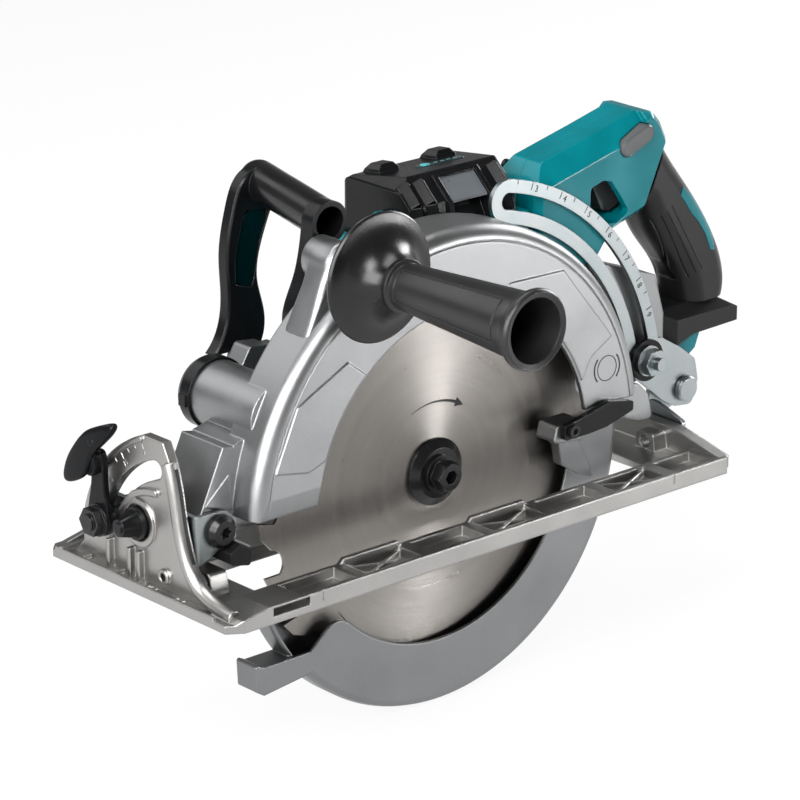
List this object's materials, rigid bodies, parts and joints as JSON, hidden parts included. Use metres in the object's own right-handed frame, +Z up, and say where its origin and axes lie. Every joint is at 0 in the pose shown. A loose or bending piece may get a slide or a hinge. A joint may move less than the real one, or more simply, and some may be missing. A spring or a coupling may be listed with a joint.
{
  "type": "rear handle circular saw",
  "caption": "Cordless rear handle circular saw with a hinged lower guard, tilting slotted shoe, depth guide, side grip, front handle and slide-in battery.",
  "frame": {"origin": "centre of the shoe's sole, on its underside", "axes": "+X from the front of the shoe to the rear handle, +Y from the blade side to the motor side, +Z up from the sole"},
  "size_m": [0.475, 0.2795, 0.3178],
  "materials": {
    "teal_body": "fine moulded texture",
    "black_plastic": "fine moulded texture",
    "black_rubber": "soft overmould",
    "grey_plastic": "fine moulded texture",
    "cast_aluminium": "blasted casting",
    "plated_steel": "zinc plated",
    "blade_steel": "ground plate",
    "black_steel": "black oxide",
    "dark_cast": "painted casting",
    "copper": "laminations and windings",
    "circuit": "board"
  },
  "bodies": {
    "saw_body": {"blade_case": "cast_aluminium", "dust_nozzle": "black_plastic", "guard_retainer": "plated_steel", "guard_spring": "plated_steel", "rubber_stop": "black_rubber", "gear_housing": "cast_aluminium", "bearings": "plated_steel", "motor_housing": "cast_aluminium", "motor_end_cover": "black_plastic", "stator": "copper", "battery_holder": "teal_body", "terminal_block": "black_plastic", "controller_board": "circuit", "handle_near_half": "teal_body", "handle_far_half": "teal_body", "switch_unit": "black_plastic", "rear_grip": "black_rubber", "handle_shelf": "black_rubber", "handle_foot": "teal_body", "grip_arm": "cast_aluminium", "side_grip": "black_plastic", "side_grip_stud": "plated_steel", "front_handle": "black_plastic", "depth_clamp_bolt": "plated_steel", "guide_spacer": "black_plastic", "handle_screws": "black_steel", "motor_screws": "black_steel"},
    "spindle_set": {"spindle": "plated_steel", "spindle_gear": "plated_steel", "inner_flange": "black_steel", "saw_blade": "blade_steel", "outer_flange": "black_steel", "blade_bolt": "black_steel"},
    "idler_set": {"idler_shaft": "plated_steel", "idler_gear": "plated_steel"},
    "rotor_set": {"rotor_shaft": "plated_steel", "rotor_core": "black_steel", "cooling_fan": "black_plastic"},
    "guard_set": {"lower_guard": "cast_aluminium", "guard_lever": "black_plastic", "lever_screw": "black_steel"},
    "trigger_set": {"trigger": "black_plastic"},
    "lock_off_set": {"lock_off_button": "black_plastic"},
    "shaft_lock_set": {"shaft_lock": "black_plastic"},
    "battery_set": {"battery_pack": "black_plastic"},
    "battery_button_set": {"battery_button": "grey_plastic"},
    "tilt_frame": {"front_bracket": "plated_steel", "rear_bracket": "plated_steel", "depth_pivot_bolt": "black_steel", "guide_pin": "plated_steel", "bevel_clamp_bolt": "black_steel", "bevel_pins": "plated_steel"},
    "guide_set": {"depth_guide": "plated_steel"},
    "shoe_set": {"shoe": "cast_aluminium", "bevel_quadrant": "cast_aluminium"},
    "bevel_lever_set": {"bevel_lever": "black_plastic"},
    "stop_dial_set": {"stop_dial": "black_plastic"},
    "depth_lever_set": {"depth_lever": "black_plastic"}
  },
  "joints": [
    {"name": "spindle_spin", "type": "hinge", "parent": "saw_body", "child": "spindle_set", "pos_m": [0.0015, -0.028, 0.033], "axis": [0, 1, 0], "continuous": true},
    {"name": "idler_spin", "type": "hinge", "parent": "saw_body", "child": "idler_set", "pos_m": [-0.02015, -0.028, 0.0455], "axis": [0, 1, 0], "continuous": true},
    {"name": "rotor_spin", "type": "hinge", "parent": "saw_body", "child": "rotor_set", "pos_m": [-0.04834, -0.028, 0.05576], "axis": [0, 1, 0], "continuous": true},
    {"name": "guard_swing", "type": "hinge", "parent": "saw_body", "child": "guard_set", "pos_m": [0.0015, -0.028, 0.033], "axis": [0, -1, 0], "range_deg": [0, 115], "stiffness_Nm_per_rad": 0.25, "springref_deg": -91.67},
    {"name": "trigger_pull", "type": "slide", "parent": "saw_body", "child": "trigger_set", "axis": [1, 0, 0], "range_m": [0, 0.005], "stiffness_N_per_m": 600, "springref_m": -0.004},
    {"name": "lock_off_press", "type": "slide", "parent": "saw_body", "child": "lock_off_set", "axis": [0, 1, 0], "range_m": [0, 0.003], "stiffness_N_per_m": 600, "springref_m": -0.002},
    {"name": "shaft_lock_press", "type": "slide", "parent": "saw_body", "child": "shaft_lock_set", "axis": [0, -1, 0], "range_m": [0, 0.002], "stiffness_N_per_m": 800, "springref_m": -0.002},
    {"name": "battery_slide", "type": "slide", "parent": "saw_body", "child": "battery_set", "axis": [0, 0, 1], "range_m": [0, 0.11]},
    {"name": "battery_button_press", "type": "slide", "parent": "battery_set", "child": "battery_button_set", "axis": [0, 1, 0], "range_m": [0, 0.0025], "stiffness_N_per_m": 600, "springref_m": -0.002},
    {"name": "depth_tilt", "type": "hinge", "parent": "saw_body", "child": "tilt_frame", "pos_m": [-0.1585, -0.028, 0.0385], "axis": [0, 1, 0], "range_deg": [0, 25]},
    {"name": "guide_swing", "type": "hinge", "parent": "tilt_frame", "child": "guide_set", "pos_m": [0.219, -0.028, 0.0295], "axis": [0, 1, 0], "range_deg": [0, 18.5]},
    {"name": "bevel_tilt", "type": "hinge", "parent": "tilt_frame", "child": "shoe_set", "pos_m": [0.0015, -0.028, 0.009], "axis": [-1, 0, 0], "range_deg": [0, 45]},
    {"name": "bevel_lever_turn", "type": "hinge", "parent": "tilt_frame", "child": "bevel_lever_set", "pos_m": [-0.1825, 0.03412, 0.0341], "axis": [1, 0, 0], "range_deg": [-50, 0]},
    {"name": "stop_dial_turn", "type": "hinge", "parent": "shoe_set", "child": "stop_dial_set", "pos_m": [-0.1825, 0.008, 0.038], "axis": [1, 0, 0], "range_deg": [-90, 90]},
    {"name": "depth_lever_turn", "type": "hinge", "parent": "saw_body", "child": "depth_lever_set", "pos_m": [0.1845, -0.028, 0.0555], "axis": [0, 1, 0], "range_deg": [0, 40]}
  ],
  "couplings": [
    {"joint": "idler_spin", "follows": "spindle_spin", "ratio": -2.0769},
    {"joint": "rotor_spin", "follows": "spindle_spin", "ratio": 6.986},
    {"joint": "guide_swing", "follows": "depth_tilt", "ratio": 0.72}
  ]
}
